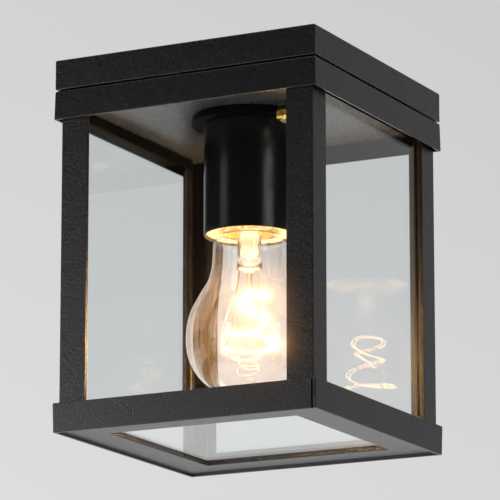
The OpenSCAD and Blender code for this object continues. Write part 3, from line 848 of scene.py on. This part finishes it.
def make_holder():
    prof = fillet([
        (5.05, Z_SHROUD - 1.4, 0.2), (13.2, Z_SHROUD - 1.4, 0.6), (13.2, Z_SHROUD - 9, 0.6), (19.2, Z_SHROUD - 9, 1.2),
        (19.2, Z_SHROUD - 30, 0.3), (18.7, Z_SHROUD - 30.4, 0.3), (18.7, Z_SHROUD - 31.6, 0.3), (19.2, Z_SHROUD - 32, 0.3),
        (19.2, Z_MOUTH + 6.0, 0.3), (21.35, Z_MOUTH + 6.0, 0.3), (21.35, Z_MOUTH, 0.5), (15.9, Z_MOUTH, 0.5), (15.2, Z_MOUTH + 0.9, 0.3), (15.2, Z_FLOOR, 0.3), (5.0, Z_FLOOR, 0.4), (5.0, Z_FLOOR + 3.2, 0.2),
        (13, Z_FLOOR + 3.2, 0.8), (13, Z_SHROUD - 13, 0.4), (10.4, Z_SHROUD - 13, 0.2), (10.4, Z_SHROUD - 8.1, 0.4),
        (5.05, Z_SHROUD - 8.1, 0.2)], 4)
    # the floor over the socket is closed but for the bore through its middle
    prof = [p for p in prof]
    return build("lampholder_body", *lathe(prof, 128))


piece("lampholder_porcelain", make_holder(), "housing", "porcelain", "lampholder_body")


# ------------------------------------------------------------------ corner angles
def angle_outline():
    o, i, e = 67.5, 66.1, 53.5
    return fillet([(e, -o, 0.25), (o, -o, 0.55), (o, -e, 0.25), (i, -e, 0.25), (i, -i, 0.3), (e, -i, 0.25)], 6)


for name, turn in (("front_right", 0), ("back_right", 90), ("back_left", 180), ("front_left", 270)):
    piece("post_angle_" + name, build("post_" + name, *turned(extrude(angle_outline(), Z_SEAT, Z_ROOF), turn)),
          "housing", "powder_coat", "post_" + name)


# ------------------------------------------------------------------ bottom ring
def make_ring():
    def o(z):
        return 69.77 - 0.3 * (Z_RING - z) / (Z_RING - Z_RIM)

    prof = fillet([
        (o(Z_RING), Z_RING, 0.35), (o(Z_RIM), Z_RIM, 0.35), (o(Z_RIM) - T, Z_RIM, 0.3),
        (o(Z_RIM) - T, Z_RIM + 1.25, 0.25), (49.8, Z_RIM + 1.25, 0.3), (49.8, Z_SEAT, 0.3),
        (o(Z_SEAT) - T, Z_SEAT, 0.25), (o(Z_RING) - T, Z_RING, 0.35)], 4)
    v, f = square_sweep(prof, lambda h, z: 0.4 if h > 69.0 else 0.3, seg=6)
    me = build("bottom_ring", v, f)
    w = 69.47 - T - 0.85
    slit = block((w, -72, Z_RIM - 2), (w + 0.85, -68.42, Z_RING + 2), 0.01, 1)
    return cut(me, [slit, turned(slit, 180)])


piece("bottom_ring_folded", make_ring(), "housing", "powder_coat", "bottom_ring")

# ------------------------------------------------------------------ panes, tape and bottom glass
for name, turn in (("front", 0), ("right", 90), ("back", 180), ("left", 270)):
    piece("pane_glass_" + name, build("pane_" + name, *turned(block((-57.7, -65.2, Z_SEAT), (57.7, -62.2, -22.2), 0.35, 2), turn)),
          "housing", "clear_glass", "pane_" + name)

strips = []
for q in (0, 90, 180, 270):
    for s in (1, -1):
        x0, x1 = (53.5, 57.4) if s > 0 else (-57.4, -53.5)
        strips.append(turned(block((x0, -66.1, -179.35), (x1, -65.2, -23.2), 0.22, 2), q))
piece("glazing_tape_strips", build("glazing_tape", *joined(strips)), "housing", "glazing_tape", "glazing_tape")

# seals along the panes' top edges, near black and dull: painted shadow in the gap under the roof
seal_shadow_strips = [turned(block((-57.3, -62.15, -27.4), (57.3, -61.75, -22.5), 0.15, 2), q) for q in (0, 90, 180, 270)]
piece("pane_top_seals", build("pane_top_seals", *joined(seal_shadow_strips)), "housing", "seal_rubber_painted_shadow", slot="rubber")

piece("bottom_glass_plate", build("bottom_glass", *block((-61.7, -61.7, Z_SEAT), (61.7, 61.7, Z_SEAT + 4.0), 0.5, 3)),
      "loose_glass", "clear_glass", "bottom_glass")


# ------------------------------------------------------------------ lamp cap
def make_cap():
    """Rolled E27 shell: one helical sheet, outside and inside, between its shoulder and its rim."""
    top, bottom, n = -58.4, -76.9, 96
    pitch = 3.629
    rows = []
    m = 60
    for i in range(m + 1):
        z = top + (bottom - top) * i / m
        rows.append(z)
    verts, faces = [], []

    def ring(r, z):
        verts.extend((r * math.cos(2 * math.pi * k / n), r * math.sin(2 * math.pi * k / n), z) for k in range(n))

    def wave(z, a, mid):
        edge = max(0.0, min(1.0, (top - z) / 1.4, (z - bottom) / 1.4))
        return mid + (0.38 * edge) * math.sin(2 * math.pi * (z / pitch - a / (2 * math.pi)))

    ring(9.7, -56.62)
    ring(10.5, -56.62)
    ring(12.05, -57.7)
    for z in rows:
        verts.extend((wave(z, 2 * math.pi * k / n, 12.72) * math.cos(2 * math.pi * k / n),
                      wave(z, 2 * math.pi * k / n, 12.72) * math.sin(2 * math.pi * k / n), z) for k in range(n))
    ring(13.25, -77.5)
    ring(13.3, -79.5)
    ring(13.15, -79.68)
    ring(12.95, -79.55)
    ring(12.9, -77.6)
    for z in reversed(rows):
        verts.extend((wave(z, 2 * math.pi * k / n, 12.34) * math.cos(2 * math.pi * k / n),
                      wave(z, 2 * math.pi * k / n, 12.34) * math.sin(2 * math.pi * k / n), z) for k in range(n))
    ring(11.75, -58.0)
    ring(9.7, -56.95)
    total = len(verts) // n
    for i in range(total):
        p, q = i * n, ((i + 1) % total) * n
        for k in range(n):
            l = (k + 1) % n
            faces.append((p + k, q + k, q + l, p + l))
    return build("bulb_cap", verts, faces, sharp=45)


piece("bulb_cap_shell", make_cap(), "lamp", "nickel_cap", "bulb_cap")
piece("cap_cement_ring", build("cap_cement", *lathe(fillet([
    (11.46, -60.5, 0.05), (11.88, -60.5, 0.05), (11.88, -79.3, 0.1), (11.62, -79.45, 0.05), (11.46, -78.6, 0.05)], 3), 96)),
      "lamp", "cap_cement", slot="porcelain")
piece("cap_insulator_glass", build("cap_insulator", *lathe(fillet([
    (0, -54.25, 0), (5.2, -54.25, 0.5), (9.6, -56.7, 0.5), (9.6, -57.7, 0.1), (0, -57.7, 0)], 4, closed=False), 72, closed=False)),
      "lamp", "cap_glass", "cap_insulator")
piece("bulb_contact_solder", build("bulb_contact", *lathe(spline([
    (0, -53.2), (1.6, -53.24), (2.9, -53.36), (4.0, -53.62), (4.6, -53.95), (4.7, -54.2)], 4) + [(0, -54.2)], 48, closed=False), sharp=50),
      "lamp_tip", "solder", "bulb_contact")


# ------------------------------------------------------------------ lamp glass
def bulb_profile(wall):
    """Outside of the clear envelope, from its tip up to inside the cap; wall draws the inside."""
    z_c, big, deep = Z_BALL, 30.8, 29.6
    low = []
    for d in range(90, -1, -3):
        t = math.radians(d)
        low.append((big * math.cos(t) ** 0.93 if d < 90 else 0.0, z_c - deep * math.sin(t) ** 0.93))
    neck = spline([(30.78, -129.8), (30.5, -126.9), (29.9, -123.0), (29.0, -119.9), (27.9, -116.9), (26.3, -113.9),
                   (24.7, -110.8), (22.9, -107.6), (21.2, -105.0), (19.95, -102.4), (19.1, -99.4), (18.45, -96.2),
                   (18.05, -92.6), (17.85, -88.4), (17.7, -85.0), (17.2, -82.9), (15.9, -81.3), (13.9, -80.2),
                   (12.2, -79.4), (11.5, -78.2), (11.4, -72.0), (11.4, -65.7)], 3)
    pts = low + neck
    if not wall:
        return pts
    out = []
    for i, p in enumerate(pts):
        a, b = Vector(pts[max(i - 1, 0)]), Vector(pts[min(i + 1, len(pts) - 1)])
        t = (b - a).normalized()
        nrm = Vector((t.y, -t.x))
        q = Vector(p) - nrm * wall
        out.append((0.0 if i == 0 else max(q.x, 0.05), q.y if i else p[1] + wall))
    return out


outside, inside = bulb_profile(0), bulb_profile(0.75)
piece("bulb_glass_envelope", build("bulb_glass", *lathe(outside + list(reversed(inside)), 144, closed=False), sharp=50),
      "lamp", "lamp_glass", "bulb_glass")


# ------------------------------------------------------------------ stem, leads and filament
TURN = math.radians(27.3)
E = Vector((math.cos(TURN), math.sin(TURN), 0))
F = Vector((math.sin(TURN), -math.cos(TURN), 0))


def loft(rows, n=64):
    """Closed skin over flat ovals (level, half width along E, half width along F)."""
    verts, faces, rings = [], [], []
    for z, rx, ry in rows:
        if rx < 1e-4:
            rings.append([len(verts)])
            verts.append((0, 0, z))
            continue
        base = len(verts)
        for k in range(n):
            a = 2 * math.pi * k / n
            p = E * (rx * math.cos(a)) + F * (ry * math.sin(a))
            verts.append((p.x, p.y, z))
        rings.append(list(range(base, base + n)))
    for p, q in zip(rings, rings[1:]):
        for k in range(n):
            l = (k + 1) % n
            if len(p) == 1:
                faces.append((p[0], q[k], q[l]))
            elif len(q) == 1:
                faces.append((p[k], q[0], p[l]))
            else:
                faces.append((p[k], q[k], q[l], p[l]))
    return verts, faces


def make_stem():
    """Flare, tube, pinched press and centre rod in one piece of glass, with its hollow inside."""
    out = spline([(-71.75, 10.15), (-72.6, 10.1), (-74.4, 8.9), (-76.7, 7.5), (-79.5, 6.5), (-82.5, 5.95), (-86.5, 5.8),
                  (-90.5, 5.8), (-92.6, 5.8)], 4)
    rows = [(-71.75, 9.3, 9.3)] + [(z, r, r) for z, r in out]
    rows += [(-93.6, 5.85, 5.3), (-94.6, 6.0, 4.3), (-95.6, 6.15, 3.3), (-96.6, 6.1, 2.7), (-97.5, 5.9, 2.5),
             (-98.1, 5.3, 2.2), (-98.5, 4.1, 1.9), (-98.75, 2.6, 1.6), (-99.3, 1.65, 1.45), (-100.2, 1.45, 1.4),
             (-104.0, 1.35, 1.35), (-107.4, 1.35, 1.35), (-108.0, 1.6, 1.6), (-108.4, 2.0, 2.0), (-109.0, 2.15, 2.15),
             (-109.6, 2.0, 2.0), (-110.0, 1.6, 1.6), (-110.25, 0.9, 0.9), (-110.3, 0, 0)]
    hollow = spline([(-71.75, 9.3), (-72.7, 9.2), (-74.6, 8.1), (-76.9, 6.7), (-79.6, 5.7), (-82.6, 5.15), (-86.5, 5.0),
                     (-90.5, 5.0)], 4)
    inner = [(z, r, r) for z, r in hollow] + [(-92.3, 4.8, 4.5), (-93.6, 4.5, 3.2), (-94.6, 3.9, 1.9), (-95.2, 2.8, 1.0), (-95.5, 1.2, 0.5), (-95.6, 0, 0)]
    a = loft(rows)
    b = loft(inner)
    return build("bulb_stem", *joined([a, b]), sharp=50)


piece("bulb_stem_glass", make_stem(), "lamp", "lamp_glass", "bulb_stem")

# the exhaust tube inside the stem, of milky glass with a painted glow
piece("stem_exhaust_tube", build("stem_exhaust", *lathe(spline([
    (1.3, -70.2), (2.6, -70.2), (3.6, -71.2), (4.1, -76.0), (4.5, -80.0), (4.5, -83.0), (4.1, -85.4), (4.4, -87.5), (4.5, -89.2), (4.0, -90.6), (2.6, -91.8), (1.3, -92.2)], 3) + [(1.3, -92.2)], 64)),
      "lamp", "milky_glass_painted_glow", slot="porcelain")

FIL_TURNS, Z_FIL, FIL_AT = 3.5, -109.0, Vector((1.2, 0.6, 0))


def fil_point(t):
    """The filament's course, as in the CAD model."""
    w = TURN + 2 * math.pi * FIL_TURNS * t
    s = max(0.0, (t - 1 / 3) * 1.5)
    if t < 1 / 3:
        r, z = 4.6 + 3.6 * math.sin(math.radians(270 * t)), -15 * (1 - 3 * t) ** 2
    else:
        g = min(1.0, max(0.0, (s - 0.35) / 0.35))
        r = 8.2 - 0.9 * math.sin(math.pi * min(1.0, s / 0.45)) + 5 * g * g * (3 - 2 * g)
        z = -26.8 * math.sin(math.pi / 2 * s ** 0.85) ** 1.5
    return FIL_AT + Vector((r * math.cos(w), r * math.sin(w), Z_FIL + z))


def make_filament():
    """A fine coil of drawn tungsten wound along that course."""
    course = [fil_point(i / 1600) for i in range(1601)]
    run = [0.0]
    for a, b in zip(course, course[1:]):
        run.append(run[-1] + (b - a).length)
    length, pitch, coil, wire = run[-1], 0.62, 0.33, 0.125
    steps = int(length / pitch * 9)
    pts, j = [], 0
    for i in range(steps + 1):
        d = length * i / steps
        while j < len(run) - 2 and run[j + 1] < d:
            j += 1
        f = (d - run[j]) / max(run[j + 1] - run[j], 1e-9)
        p = course[j].lerp(course[j + 1], f)
        t = (course[min(j + 3, 1600)] - course[max(j - 2, 0)]).normalized()
        u = t.cross(Vector((0, 0, 1))).normalized()
        v = t.cross(u)
        a = 2 * math.pi * d / pitch
        pts.append(p + u * (coil * math.cos(a)) + v * (coil * math.sin(a)))
    return build("filament", *tube(pts, wire, 5), sharp=80)


piece("filament_coil", make_filament(), "lamp", "filament_glow", "filament")


def lead(x, y, z):
    return E * x + F * y + Vector((0, 0, z))


right = spline([lead(4.6, 0, -97.5), lead(4.9, 0, -103.7), lead(5.4, 0, -117.7), fil_point(0) + Vector((0, 0, 0.55))], 8)
left = spline([lead(-4.6, 0, -97.5), lead(-5.3, 2.6, -103), lead(-6.3, 5.5, -110), lead(-7.3, 6.2, -120), lead(-8.2, 5.2, -129),
               lead(-10.6, 1.6, -133.6), fil_point(1) + Vector((0, 0, 0.55))], 8)
piece("lead_wires_pair", build("lead_wires", *joined([tube(right, 0.3, 12), tube(left, 0.3, 12)]), sharp=60), "lamp", "lead_wire", "lead_wires")

# ------------------------------------------------------------------ CAD nodes shown as they are
for node, slot in (("earth_lug", "brass"), ("earth_screw", "brass"), ("thread_shell", "brass"), ("centre_contact", "brass")):
    me = frame["nodes"][node].data
    me.materials.clear()
    me.materials.append(M[slot])
for node, ob in frame["nodes"].items():
    for s in ob.material_slots:
        if s.material is None or s.material.name not in M:
            slot = next((r.get("material_slot") for r in frame["record"]["subparts"] if r["node"] == node), "powder_coat")
            s.material = M[slot]

# ------------------------------------------------------------------ floor, light and surroundings
floor_mat = bpy.data.materials.new("studio_floor")
floor_mat.use_nodes = True
k = Nodes(floor_mat.node_tree)
fo = k.add("ShaderNodeOutputMaterial")
fb = k.add("ShaderNodeBsdfDiffuse")
k.put(fb, "Color", k.ramp(k.noise(k.add("ShaderNodeTexCoord").outputs["Object"], 0.7, 2.0), [(0.3, 0.80), (0.7, 0.83)]))
k.put(fo, "Surface", fb.outputs[0])
fm = bpy.data.meshes.new("floor")
fm.from_pydata([(16 * math.cos(2 * math.pi * i / 96), 16 * math.sin(2 * math.pi * i / 96), -1.25) for i in range(96)], [], [tuple(range(96))])
fm.materials.append(floor_mat)
floor = bpy.data.objects.new("floor", fm)
scene.collection.objects.link(floor)

world = bpy.data.worlds.new("studio")
scene.world = world
world.use_nodes = True
k = Nodes(world.node_tree)
wo = k.add("ShaderNodeOutputWorld")
bg = k.add("ShaderNodeBackground")
k.put(wo, "Surface", bg.outputs[0])
d = k.add("ShaderNodeTexCoord").outputs["Generated"]
sep = k.add("ShaderNodeSeparateXYZ", {0: d})
x, y, z = (sep.outputs[i] for i in range(3))
up = k.span(z, 0.0, 1.0, -1.0, 1.0)


def at(v):
    return (v + 1) / 2


# the pale backdrop behind the lantern, and the dark studio behind the camera
back = k.ramp(up, [(0.0, (0.86, 0.86, 0.87)), (at(-0.25), (0.86, 0.855, 0.865)), (at(0.0), (0.80, 0.795, 0.805)),
                   (at(0.165), (0.715, 0.705, 0.715)), (at(0.292), (0.635, 0.63, 0.635)), (at(0.5), (0.52, 0.52, 0.53)),
                   (at(0.75), (0.75, 0.76, 0.78)), (1.0, (0.98, 0.99, 1.0))])
front = k.ramp(up, [(0.0, (0.80, 0.80, 0.81)), (at(-0.12), (0.60, 0.60, 0.61)), (at(0.0), (0.20, 0.20, 0.205)),
                    (at(0.12), (0.012, 0.012, 0.012)), (at(0.35), (0.010, 0.010, 0.010)),
                    (at(0.7), (0.25, 0.255, 0.26)), (1.0, (0.98, 0.99, 1.0))])
ahead = k.math("ADD", k.math("MULTIPLY", x, -0.459), k.math("MULTIPLY", y, 0.8885))
across = k.math("ADD", k.math("MULTIPLY", x, 0.8885), k.math("MULTIPLY", y, 0.459))
turn = k.math("ADD", ahead, k.math("MULTIPLY", across, 0.25))
side = k.add("ShaderNodeMapRange", {"Value": turn, "From Min": 0.55, "From Max": 0.92}, interpolation_type="SMOOTHSTEP").outputs["Result"]
mixed = k.add("ShaderNodeMix", {"Factor": side}, data_type="RGBA")
k.t.links.new(front, mixed.inputs[6])
k.t.links.new(back, mixed.inputs[7])
k.put(bg, "Color", mixed.outputs[2])
# the backdrop falls off a little to the right
k.put(bg, "Strength", k.span(across, 1.094, 0.906, -0.2, 0.2))


def area(name, loc, target, size, power, tall=0.0):
    """A soft light: a disc, or an upright box when tall is given."""
    l = bpy.data.lights.new(name, "AREA")
    l.shape, l.size, l.energy = "DISK", size, power
    if tall:
        l.shape, l.size_y = "RECTANGLE", tall
    ob = bpy.data.objects.new(name, l)
    scene.collection.objects.link(ob)
    ob.location = loc
    ob.rotation_mode = "QUATERNION"
    ob.rotation_quaternion = (Vector(target) - Vector(loc)).to_track_quat("-Z", "Y")
    ob.visible_camera = False
    return ob


def beside_camera(degrees, away, z):
    """A place round the lantern, by its angle from the way to the camera (plus is to the right)."""
    a = math.radians(degrees) + math.atan2(-0.8885, 0.459)
    return (away * math.cos(a), away * math.sin(a), z)


area("overhead_softbox", (0.2, 0.8, 2.6), (0, 0, -0.6), 2.4, 38.0)
# an even wash of light from straight above, for the floor
wash = bpy.data.lights.new("ceiling_wash", "SUN")
wash.energy, wash.angle = 1.62, math.radians(50)
scene.collection.objects.link(bpy.data.objects.new("ceiling_wash", wash))
left = area("left_strip", beside_camera(-76, 1.25, -0.42), (0, 0, -0.42), 0.72, 11.8, 1.02)
area("right_strip", beside_camera(48, 1.25, -0.30), (0, 0, -0.30), 0.44, 4.7, 1.25)
card = area("shroud_card", beside_camera(-68, 1.25, 0.27), (0, 0, -0.05), 0.30, 1.05, 0.90)
# the left strip lights the sheet metal and the lamp, and leaves no reflection of itself in the panes
panes = bpy.data.collections.new("panes")
for ob in scene.objects:
    if ob.name.startswith("pane_glass") or ob.name == "bottom_glass_plate":
        panes.objects.link(ob)
for c in panes.collection_objects:
    c.light_linking.link_state = "EXCLUDE"
left.light_linking.receiver_collection = panes
# the small card lights the shroud alone, by way of the panes
tubes = bpy.data.collections.new("tubes")
for ob in scene.objects:
    if ob.name.startswith("pane_glass") or ob.name == "shroud_tube":
        tubes.objects.link(ob)
card.light_linking.receiver_collection = tubes

# ------------------------------------------------------------------ picture
scene.cycles.max_bounces = 24
scene.cycles.transmission_bounces = 24
scene.cycles.transparent_max_bounces = 32
scene.view_settings.view_transform = "Standard"
scene.view_settings.look = "None"
scene.use_nodes = True
k = Nodes(scene.node_tree)
rl = k.add("CompositorNodeRLayers")
near = k.add("CompositorNodeGlare", glare_type="BLOOM", quality="HIGH")
k.put(near, "Threshold", 2.2)
k.put(near, "Strength", 1.9)
k.put(near, "Size", 0.08)
k.put(near, "Tint", (1.0, 0.93, 0.82, 1.0))
k.put(near, "Image", rl.outputs["Image"])
glare = k.add("CompositorNodeGlare", glare_type="FOG_GLOW", quality="HIGH")
k.put(glare, "Threshold", 2.2)
k.put(glare, "Strength", 0.35)
k.put(glare, "Size", 0.45)
k.put(glare, "Tint", (1.0, 0.55, 0.25, 1.0))
k.put(glare, "Image", near.outputs["Image"])
comp = k.add("CompositorNodeComposite")
k.put(comp, "Image", glare.outputs["Image"])
